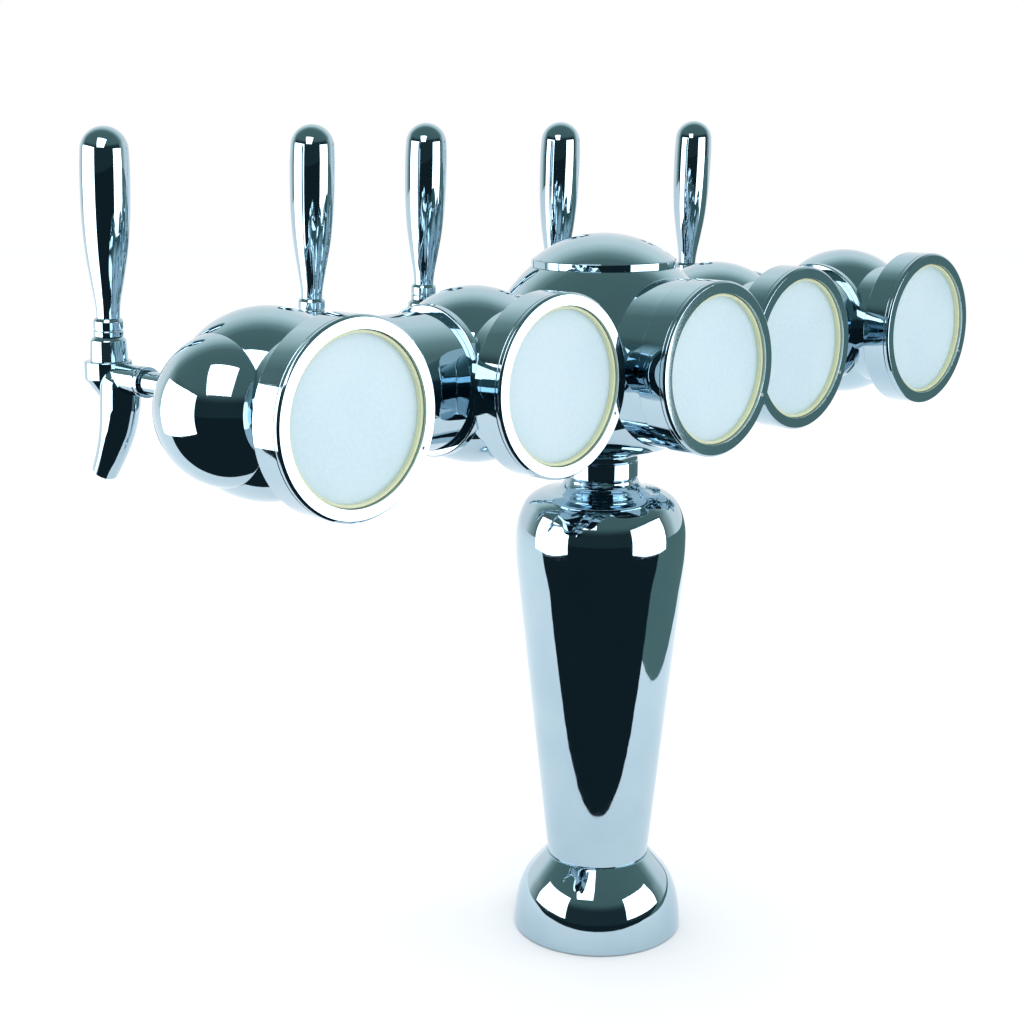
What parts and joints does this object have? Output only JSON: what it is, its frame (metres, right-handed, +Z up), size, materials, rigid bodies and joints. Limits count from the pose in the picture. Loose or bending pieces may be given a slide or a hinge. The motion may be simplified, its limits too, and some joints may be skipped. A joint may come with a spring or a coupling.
{
  "type": "beer tap tower",
  "caption": "Polished T-shaped draught beer tower: turned column, horizontal bar of ball modules, round lit medallions at the front and lever taps with spouts at the back.",
  "frame": {"origin": "centre of the mounting base on the counter, on the column axis and at the centre of the bolt circle", "axes": "+X along the horizontal bar, from the first station to the fifth; -Y towards the customer, where the medallions face; +Y towards the bartender, where the levers and spouts are; +Z up"},
  "size_m": [0.6294, 0.2598, 0.4997],
  "materials": {
    "polished_chrome": "mirror polished chrome plate with a faint cool tint",
    "bezel_chrome": "polished chrome plate, flat turned face",
    "satin_steel": "turned stainless steel, unpolished",
    "lever_chrome": "polished chrome plate",
    "frosted_lens": "frosted translucent acrylic, softly lit from behind",
    "lens_seal": "pale yellow-green translucent elastomer",
    "rubber": "matt black rubber",
    "brass": "machined brass",
    "hose": "semi-clear beverage hose",
    "circuit_board": "white solder mask",
    "cable": "black cable sheath"
  },
  "bodies": {
    "tower": {"arm_collars": "polished_chrome", "arm_tube_1_2": "polished_chrome", "arm_tube_2_3": "polished_chrome", "arm_tube_3_4": "polished_chrome", "arm_tube_4_5": "polished_chrome", "base_flange": "polished_chrome", "base_gasket": "rubber", "beer_hoses": "hose", "bezel_screws": "satin_steel", "centre_body": "polished_chrome", "column": "polished_chrome", "coupling_nuts": "polished_chrome", "dome_cap": "polished_chrome", "dome_ring": "polished_chrome", "end_cap_1": "polished_chrome", "end_cap_5": "polished_chrome", "led_boards": "circuit_board", "led_loom": "cable", "lens_seals": "lens_seal", "lever_pins": "satin_steel", "mast_nut": "satin_steel", "mast_tube": "satin_steel", "medallion_bezels": "bezel_chrome", "medallion_housing_1": "polished_chrome", "medallion_housing_2": "polished_chrome", "medallion_housing_3": "polished_chrome", "medallion_housing_4": "polished_chrome", "medallion_housing_5": "polished_chrome", "medallion_lenses": "frosted_lens", "mounting_plate": "satin_steel", "neck_ring": "polished_chrome", "neck_socket": "polished_chrome", "shank_nuts": "brass", "station_body_1": "polished_chrome", "station_body_2": "polished_chrome", "station_body_4": "polished_chrome", "station_body_5": "polished_chrome", "stem_nuts": "brass", "tap_body_1": "polished_chrome", "tap_body_2": "polished_chrome", "tap_body_3": "polished_chrome", "tap_body_4": "polished_chrome", "tap_body_5": "polished_chrome", "tap_bonnets": "polished_chrome", "tap_shanks": "polished_chrome"},
    "lever_1": {"tap_lever_1": "lever_chrome", "tap_handle_1": "lever_chrome"},
    "valve_1": {"valve_shaft_1": "satin_steel"},
    "lever_2": {"tap_lever_2": "lever_chrome", "tap_handle_2": "lever_chrome"},
    "valve_2": {"valve_shaft_2": "satin_steel"},
    "lever_3": {"tap_lever_3": "lever_chrome", "tap_handle_3": "lever_chrome"},
    "valve_3": {"valve_shaft_3": "satin_steel"},
    "lever_4": {"tap_lever_4": "lever_chrome", "tap_handle_4": "lever_chrome"},
    "valve_4": {"valve_shaft_4": "satin_steel"},
    "lever_5": {"tap_lever_5": "lever_chrome", "tap_handle_5": "lever_chrome"},
    "valve_5": {"valve_shaft_5": "satin_steel"}
  },
  "joints": [
    {"name": "tap_1_lever", "type": "hinge", "parent": "tower", "child": "lever_1", "pos_m": [-0.2534, 0.1393, 0.3775], "axis": [-1, 0, 0], "range_deg": [0, 30]},
    {"name": "valve_1_slide", "type": "slide", "parent": "tower", "child": "valve_1", "axis": [0, -1, 0], "range_m": [0, 0.0049]},
    {"name": "tap_2_lever", "type": "hinge", "parent": "tower", "child": "lever_2", "pos_m": [-0.1089, 0.1393, 0.3775], "axis": [-1, 0, 0], "range_deg": [0, 30]},
    {"name": "valve_2_slide", "type": "slide", "parent": "tower", "child": "valve_2", "axis": [0, -1, 0], "range_m": [0, 0.0049]},
    {"name": "tap_3_lever", "type": "hinge", "parent": "tower", "child": "lever_3", "pos_m": [0, 0.1563, 0.3775], "axis": [-1, 0, 0], "range_deg": [0, 30]},
    {"name": "valve_3_slide", "type": "slide", "parent": "tower", "child": "valve_3", "axis": [0, -1, 0], "range_m": [0, 0.0049]},
    {"name": "tap_4_lever", "type": "hinge", "parent": "tower", "child": "lever_4", "pos_m": [0.1089, 0.1393, 0.3775], "axis": [-1, 0, 0], "range_deg": [0, 30]},
    {"name": "valve_4_slide", "type": "slide", "parent": "tower", "child": "valve_4", "axis": [0, -1, 0], "range_m": [0, 0.0049]},
    {"name": "tap_5_lever", "type": "hinge", "parent": "tower", "child": "lever_5", "pos_m": [0.2534, 0.1393, 0.3775], "axis": [-1, 0, 0], "range_deg": [0, 30]},
    {"name": "valve_5_slide", "type": "slide", "parent": "tower", "child": "valve_5", "axis": [0, -1, 0], "range_m": [0, 0.0049]}
  ],
  "couplings": [
    {"joint": "valve_1_slide", "follows": "tap_1_lever", "m_per_rad": 0.009169},
    {"joint": "valve_2_slide", "follows": "tap_2_lever", "m_per_rad": 0.009169},
    {"joint": "valve_3_slide", "follows": "tap_3_lever", "m_per_rad": 0.009169},
    {"joint": "valve_4_slide", "follows": "tap_4_lever", "m_per_rad": 0.009169},
    {"joint": "valve_5_slide", "follows": "tap_5_lever", "m_per_rad": 0.009169}
  ]
}
